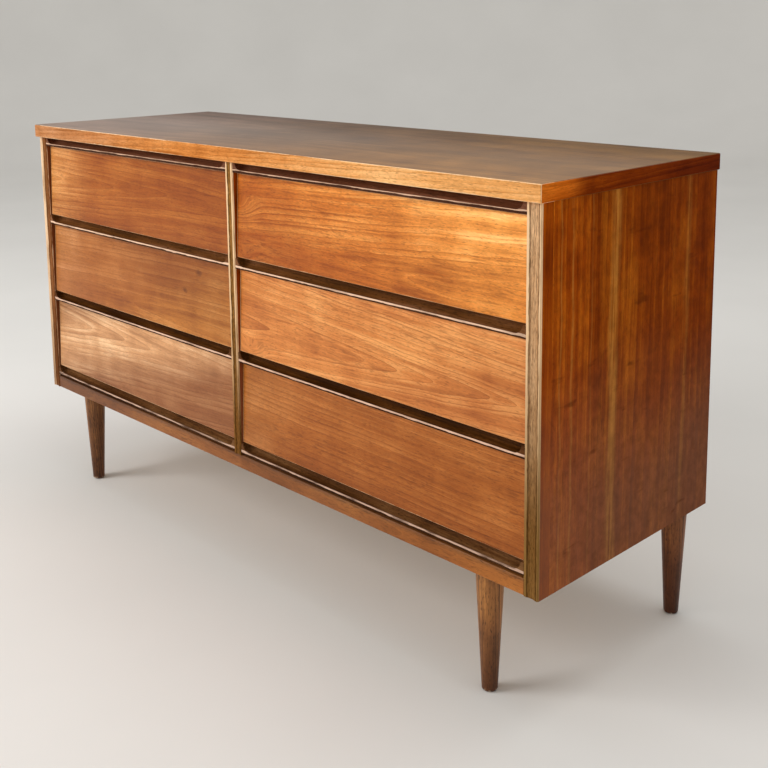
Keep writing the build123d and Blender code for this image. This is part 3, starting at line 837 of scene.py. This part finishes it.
def rail_finish(node, level):
    """Dark in the cove, partly as painted shade, with a painted shadow on the lip's face below its crest, and
    the crest of the lip rubbed pale.
    """
    low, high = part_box(node)
    seed = 37.0 + low.z
    material, graph, shader, place = start_material(f"{node}_walnut", 0.5, 0.05)
    board = board_place(graph, place, (low + high) / 2, "xzy")
    colour, height = grow(graph, board, COVE_TONES[level], seed=seed, heart=(0.0, 0.3), spacing=0.006,
                          fibre=0.35, pore=0.7)
    _, y, z = graph.split(graph.vector("SUBTRACT", place, tuple(low)))
    fray = graph.swing(graph.vector("MULTIPLY", place, (36.0, 300.0, 300.0)), detail=3.0, roughness=0.6,
                       seed=seed)
    # Painted shadow: the lip's front face below its crest, darkened as if shaded
    front = graph.math("MULTIPLY", graph.spread(y, 0.6 * MM, 2.0 * MM, 1.0, 0.0),
                       graph.spread(z, CREST_HEIGHT, CREST_HEIGHT + 2 * MM, 0.8, 0.3))
    colour = graph.blend(front, colour, linear("2A1206"))
    rise = graph.math("MULTIPLY_ADD", fray, 4.5 * MM, z)
    band = (1.8 if level == "top" else 3.0) * MM
    lip = graph.math("MULTIPLY", graph.spread(rise, CREST_HEIGHT - band, CREST_HEIGHT - band + 0.6 * MM),
                     graph.spread(rise, CREST_HEIGHT + 0.8 * MM, CREST_HEIGHT + 1.4 * MM, 1.0, 0.0))
    lip = graph.math("MULTIPLY", lip, graph.spread(y, 1.6 * MM, 2.8 * MM, 1.0, 0.0))
    rub = graph.noise(graph.vector("MULTIPLY", place, (24.0, 200.0, 200.0)), detail=3.0, seed=seed + 2)
    lip = graph.math("MULTIPLY", lip, graph.spread(rub, 0.32, 0.58, LIP_KEPT[level], 1.0))
    colour = graph.blend(lip, colour, linear(LIP_COLOURS[level]))
    lacquer(graph, shader, place, colour, height, 0.5, seed=seed)
    return material


def make_rails():
    """The four finger rails of each column."""
    for side in COLUMNS:
        for level in RAIL_LEVELS:
            node = f"{side}_{level}_rail"
            coved_rail(node, rail_finish(node, level))


def leg_outline(height):
    """Half outline of a turned leg, from its bored top round the taper to the middle of its foot."""
    def taper(z):
        return LEG_FOOT_RADIUS + (LEG_TOP_RADIUS - LEG_FOOT_RADIUS) * z / height

    bore_end = height - BOLT_BORE_DEPTH
    shoulder = height - LEG_TOP_EASING
    points = [(0.0, bore_end), (BOLT_BORE_RADIUS, bore_end), (BOLT_BORE_RADIUS, height),
              (LEG_TOP_RADIUS - LEG_TOP_EASING, height), (taper(shoulder), shoulder)]
    for step in range(FOOT_STEPS + 1):
        angle = math.radians(90 * step / FOOT_STEPS)
        z = FOOT_ROUNDING * (1 - math.sin(angle))
        points.append((taper(z) - FOOT_ROUNDING * (1 - math.cos(angle)), z))
    return points + [(0.0, 0.0)]


def turned_legs(node, material):
    """A left and a right leg, each turned about its own upright axis."""
    low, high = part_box(node)
    form = bmesh.new()
    for x in (low.x + LEG_TOP_RADIUS, high.x - LEG_TOP_RADIUS):
        centre = Vector((x, (low.y + high.y) / 2, low.z))
        before = None
        for radius, z in leg_outline(high.z - low.z):
            ring = []
            for index in range(LEG_SEGMENTS):
                angle = 2 * math.pi * index / LEG_SEGMENTS
                ring.append(form.verts.new(centre + Vector((radius * math.cos(angle),
                                                            radius * math.sin(angle), z))))
            if before:
                bridge(form, before, ring)
            before = ring
    new_piece(f"{node}_turned", form, material, "walnut_leg", "case", node)


# The two legs of a pair come from different stretches of the same plank
LEG_GRAIN_SHIFT = 0.7
# Painted light and shade on each leg: the front left leg and both rear legs shaded darker, the front right
# leg lit brighter; tints for the left one (-1) and the right one (+1)
LEG_LIGHT_AND_SHADE = {"front_legs": {-1.0: (0.68, 0.72, 0.78), 1.0: (1.04, 1.14, 1.16)},
             "rear_legs": {-1.0: (0.75, 0.7, 0.7), 1.0: (0.68, 0.62, 0.65)}}


def leg_finish(node):
    """Upright grain about each leg's own axis, darker towards the foot, with painted light and shade leg by
    leg.
    """
    low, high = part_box(node)
    material, graph, shader, place = start_material(f"{node}_walnut", 0.4, 0.25)
    x, y, z = graph.split(place)
    out = graph.math("SUBTRACT", graph.math("ABSOLUTE", x), high.x - LEG_TOP_RADIUS)
    back = graph.math("SUBTRACT", y, (low.y + high.y) / 2)
    along = graph.math("MULTIPLY_ADD", graph.math("SIGN", x), LEG_GRAIN_SHIFT, z)
    board = graph.join(along, out, back)
    colour, height = grow(graph, board, ("B4743C", "84502A", "4E2C16"), seed=51.0, heart=(0.03, 0.02),
                          climb=0.06, spacing=0.006, wander=0.03, ring=0.6, fibre=0.35, pore=0.7)
    darker_foot = graph.spread(graph.math("MULTIPLY_ADD", graph.swing(place, 60.0, 3.0), 0.05, z), 0.12, 0.0)
    colour = graph.blend(darker_foot, colour, (0.5, 0.42, 0.38, 1.0), "MULTIPLY")
    # Painted light and shade, leg by leg
    for direction, tint in LEG_LIGHT_AND_SHADE[node].items():
        side = graph.math("GREATER_THAN", graph.math("MULTIPLY", x, direction), 0.0)
        colour = graph.blend(side, colour, tint + (1.0,), "MULTIPLY")
    chips = graph.math("MULTIPLY", graph.spread(graph.noise(place, 130.0, 2.0, seed=52.0), 0.58, 0.66),
                       graph.spread(z, 0.006, 0.001))
    colour = graph.blend(chips, colour, linear("C8B098"))
    lacquer(graph, shader, place, colour, height, 0.38, seed=51.0)
    return material


def make_legs():
    """The front pair and the rear pair."""
    for node in ("front_legs", "rear_legs"):
        turned_legs(node, leg_finish(node))


# ---- Fasteners ----

def steel_finish(name, pale, dark, roughness):
    """Blotched steel between a pale and a dark colour."""
    material, graph, shader, place = start_material(name, roughness, 0.5)
    shader.inputs["Metallic"].default_value = 1.0
    tint = graph.noise(place, 70.0, 3.0, 0.6)
    graph.feed(shader.inputs["Base Color"], graph.blend(tint, linear(pale), linear(dark)))
    blotches = graph.noise(place, 160.0, 2.0)
    graph.feed(shader.inputs["Roughness"],
               graph.spread(blotches, 0.3, 0.7, roughness - 0.08, roughness + 0.12))
    bump = graph.add("ShaderNodeBump", {"Strength": 0.6, "Distance": 0.03 * MM, "Height": blotches})
    graph.feed(shader.inputs["Normal"], bump.outputs["Normal"])
    return material


def build_slotted_heads():
    """Slotted heads at the points of a mesh: they face one way, each turned and shifted at random."""
    tree = bpy.data.node_groups.new("slotted_heads", "GeometryNodeTree")
    tree.is_modifier = True
    sockets = {"Places": "NodeSocketGeometry", "Head Radius": FLOAT, "Head Height": FLOAT,
               "Slot Width": FLOAT, "Slot Depth": FLOAT, "Scatter": FLOAT, "Facing": VECTOR,
               "Seed": "NodeSocketInt", "Metal": "NodeSocketMaterial"}
    for label, kind in sockets.items():
        tree.interface.new_socket(label, in_out="INPUT", socket_type=kind)
    tree.interface.new_socket("Heads", in_out="OUTPUT", socket_type="NodeSocketGeometry")
    graph = Graph(tree)
    given = graph.add("NodeGroupInput").outputs
    head = graph.add("GeometryNodeMeshCone", {
        "Vertices": 24, "Side Segments": 1, "Fill Segments": 1,
        "Radius Top": graph.math("MULTIPLY", given["Head Radius"], 0.72),
        "Radius Bottom": given["Head Radius"], "Depth": given["Head Height"]}).outputs["Mesh"]
    bar = graph.join(graph.math("MULTIPLY", given["Head Radius"], 3.0), given["Slot Width"],
                     graph.math("MULTIPLY", given["Slot Depth"], 2.0))
    cutter = graph.add("GeometryNodeMeshCube", {"Size": bar}).outputs["Mesh"]
    lifted = graph.add("GeometryNodeTransform", {
        "Geometry": cutter, "Translation": graph.join(0.0, 0.0, given["Head Height"])}).outputs["Geometry"]
    slotted = graph.add("GeometryNodeMeshBoolean", {"Mesh 1": head, "Mesh 2": lifted},
                        operation="DIFFERENCE", solver="EXACT").outputs["Mesh"]
    spin = graph.add("FunctionNodeRandomValue", {2: 0.0, 3: math.pi, "Seed": given["Seed"]},
                     data_type="FLOAT").outputs[1]
    face = graph.add("FunctionNodeAlignRotationToVector", {"Vector": given["Facing"]},
                     axis="Z").outputs["Rotation"]
    own_turn = graph.add("FunctionNodeEulerToRotation",
                         {"Euler": graph.join(0.0, 0.0, spin)}).outputs["Rotation"]
    turned = graph.add("FunctionNodeRotateRotation", {"Rotation": face, "Rotate By": own_turn},
                       rotation_space="LOCAL").outputs["Rotation"]
    aside = graph.add("FunctionNodeRandomValue", {"Min": (-1.0, -1.0, -1.0), "Max": (1.0, 1.0, 1.0),
                                                  "Seed": graph.math("ADD", given["Seed"], 1.0)},
                      data_type="FLOAT_VECTOR").outputs[0]
    inward = graph.vector("SUBTRACT", (1.0, 1.0, 1.0), graph.vector("ABSOLUTE", given["Facing"]))
    shift = graph.scaled(graph.vector("MULTIPLY", aside, inward), given["Scatter"])
    moved = graph.add("GeometryNodeSetPosition", {"Geometry": given["Places"], "Offset": shift}).outputs[0]
    instances = graph.add("GeometryNodeInstanceOnPoints", {
        "Points": moved, "Instance": slotted, "Rotation": turned}).outputs["Instances"]
    real = graph.add("GeometryNodeRealizeInstances", {"Geometry": instances}).outputs["Geometry"]
    shown = graph.add("GeometryNodeSetMaterial", {"Geometry": real, "Material": given["Metal"]}).outputs[0]
    graph.feed(graph.add("NodeGroupOutput").inputs["Heads"], shown)
    return tree


def set_heads(name, tree, places, metal, slot, body, **sizes):
    """Sets a head at each place, as one plain mesh that rides on a body."""
    points = bpy.data.meshes.new(f"{name}_places")
    points.from_pydata([tuple(place) for place in places], [], [])
    carrier = bpy.data.objects.new(f"{name}_places", points)
    bpy.context.scene.collection.objects.link(carrier)
    modifier = carrier.modifiers.new("heads", "NODES")
    modifier.node_group = tree
    for socket in tree.interface.items_tree:
        key = socket.name.lower().replace(" ", "_")
        if key == "metal":
            modifier[socket.identifier] = metal
        elif key in sizes:
            modifier[socket.identifier] = sizes[key]
    graph = bpy.context.evaluated_depsgraph_get()
    mesh = bpy.data.meshes.new_from_object(carrier.evaluated_get(graph))
    mesh.name = name
    carrier.modifiers.remove(modifier)
    bpy.data.objects.remove(carrier)
    heads = bpy.data.objects.new(name, mesh)
    bpy.context.scene.collection.objects.link(heads)
    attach(heads, body)


PLATE_SCREW_OFFSET = 20 * MM
NAIL_MARGIN = 11 * MM
NAIL_PITCH = 78 * MM


def plate_screw_places():
    """Four round each leg's bolt, on the underside of its plate."""
    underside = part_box("leg_plates")[0].z
    places = []
    for node in ("front_legs", "rear_legs"):
        leg_low, leg_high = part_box(node)
        y = (leg_low.y + leg_high.y) / 2
        for x in (leg_low.x + LEG_TOP_RADIUS, leg_high.x - LEG_TOP_RADIUS):
            for across in (-PLATE_SCREW_OFFSET, PLATE_SCREW_OFFSET):
                for back in (-PLATE_SCREW_OFFSET, PLATE_SCREW_OFFSET):
                    places.append((x + across, y + back, underside))
    return places


def evenly(start, stop, pitch):
    """Numbers from start to stop, about a pitch apart."""
    count = max(1, round((stop - start) / pitch))
    return [start + (stop - start) * index / count for index in range(count + 1)]


def back_nail_places():
    """Round the edge of the back panel and up the middle, into the centre partition."""
    low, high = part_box("back_panel")
    left, right = low.x + NAIL_MARGIN, high.x - NAIL_MARGIN
    under, over = low.z + NAIL_MARGIN, high.z - NAIL_MARGIN
    places = [(x, high.y, z) for x in evenly(left, right, NAIL_PITCH) for z in (under, over)]
    for x in (left, (left + right) / 2, right):
        places += [(x, high.y, z) for z in evenly(under, over, NAIL_PITCH)[1:-1]]
    return places


def make_fasteners():
    """Steel plates, bolts and screws for the legs, and nails that hold the back panel."""
    zinc = steel_finish("zinc_plated_steel", "B6B8B4", "8C8E8A", 0.38)
    finish("leg_plates", zinc)
    finish("leg_bolts", zinc)
    heads = build_slotted_heads()
    screws = steel_finish("screw_steel", "9A9890", "6E6A62", 0.34)
    set_heads("plate_screws", heads, plate_screw_places(), screws, "zinc_steel", "case",
              head_radius=3.6 * MM, head_height=1.5 * MM, slot_width=0.9 * MM, slot_depth=0.9 * MM,
              scatter=0.0, facing=(0.0, 0.0, -1.0), seed=5)
    nails = steel_finish("nail_steel", "6A645C", "3E3A36", 0.5)
    # A nail's head is plain: its slot is too fine to see
    set_heads("back_nails", heads, back_nail_places(), nails, "zinc_steel", "case",
              head_radius=2.2 * MM, head_height=0.4 * MM, slot_width=0.01 * MM, slot_depth=0.01 * MM,
              scatter=2.5 * MM, facing=(0.0, 1.0, 0.0), seed=9)


# ---- Camera, lights and studio ----

def place_camera():
    """Stands at the front right, a little above the top, with the frame shifted down to the dresser."""
    data = bpy.data.cameras.new("camera")
    camera = bpy.data.objects.new("camera", data)
    bpy.context.scene.collection.objects.link(camera)
    azimuth, elevation, roll = math.radians(-45.744), math.radians(8.969), math.radians(-0.64)
    forward = Vector((math.sin(azimuth) * math.cos(elevation), math.cos(azimuth) * math.cos(elevation),
                      -math.sin(elevation)))
    right = forward.cross(Vector((0, 0, 1))).normalized()
    up = right.cross(forward)
    turned_right = right * math.cos(roll) + up * math.sin(roll)
    turned_up = up * math.cos(roll) - right * math.sin(roll)
    turn = Matrix((turned_right, turned_up, -forward)).transposed().to_4x4()
    stand = Vector((1.5591, -1.3632, 0.9857))
    camera.matrix_world = Matrix.Translation(stand) @ turn
    data.sensor_width = 36.0
    data.lens = 52.1
    data.shift_y = -0.24
    bpy.context.scene.camera = camera


def area_light(name, place, target, size, power):
    """A round softbox that faces its target."""
    data = bpy.data.lights.new(name, "AREA")
    data.shape = "DISK"
    data.size = size
    data.energy = power
    light = bpy.data.objects.new(name, data)
    bpy.context.scene.collection.objects.link(light)
    light.location = place
    light.rotation_euler = (Vector(target) - Vector(place)).to_track_quat("-Z", "Y").to_euler()


def light_studio():
    """A pale world with one softbox at the front left and a weaker one overhead."""
    world = bpy.data.worlds.new("studio")
    bpy.context.scene.world = world
    world.use_nodes = True
    background = world.node_tree.nodes["Background"]
    background.inputs["Color"].default_value = (1.0, 0.99, 0.97, 1.0)
    background.inputs["Strength"].default_value = 0.62
    middle = (0.0, 0.0, 0.4)
    area_light("front_softbox", (-2.2, -3.6, 2.4), middle, 2.6, 125)
    area_light("overhead_softbox", (0.5, 0.5, 3.6), middle, 2.4, 30)


def lay_studio():
    """A round floor that sweeps up into a low wall all the way round."""
    flat, sweep, wall = 5.8, 2.2, 3.2
    segments, sweep_steps = 96, 12
    outline = [(0.0, 0.0), (2.0, 0.0), (4.0, 0.0)]
    for step in range(sweep_steps + 1):
        angle = math.radians(90 * step / sweep_steps)
        outline.append((flat + sweep * math.sin(angle), sweep * (1 - math.cos(angle))))
    outline.append((flat + sweep, wall))
    form = bmesh.new()
    before = None
    for radius, z in outline:
        ring = [form.verts.new((radius * math.cos(2 * math.pi * index / segments),
                                radius * math.sin(2 * math.pi * index / segments), z))
                for index in range(segments)]
        if before:
            bridge(form, ring, before)
        before = ring
    bmesh.ops.remove_doubles(form, verts=form.verts, dist=0.01 * MM)
    mesh = bpy.data.meshes.new("studio_sweep")
    form.to_mesh(mesh)
    form.free()
    mesh.shade_smooth()
    studio = bpy.data.objects.new("studio_sweep", mesh)
    bpy.context.scene.collection.objects.link(studio)
    studio.location.z = -0.5 * MM
    material, graph, shader, place = start_material("pale_floor", 0.8, 0.2)
    mottle = graph.noise(place, 2.0, 3.0)
    graph.feed(shader.inputs["Base Color"], graph.blend(mottle, linear("E9E7E3"), linear("DFDDD9")))
    mesh.materials.append(material)


place_camera()
light_studio()
lay_studio()
dress_drawers()
dress_top()
dress_sides()
dress_uprights()
dress_fascia()
dress_inside()
make_rails()
make_legs()
make_fasteners()

bpy.context.scene.view_settings.view_transform = "Standard"
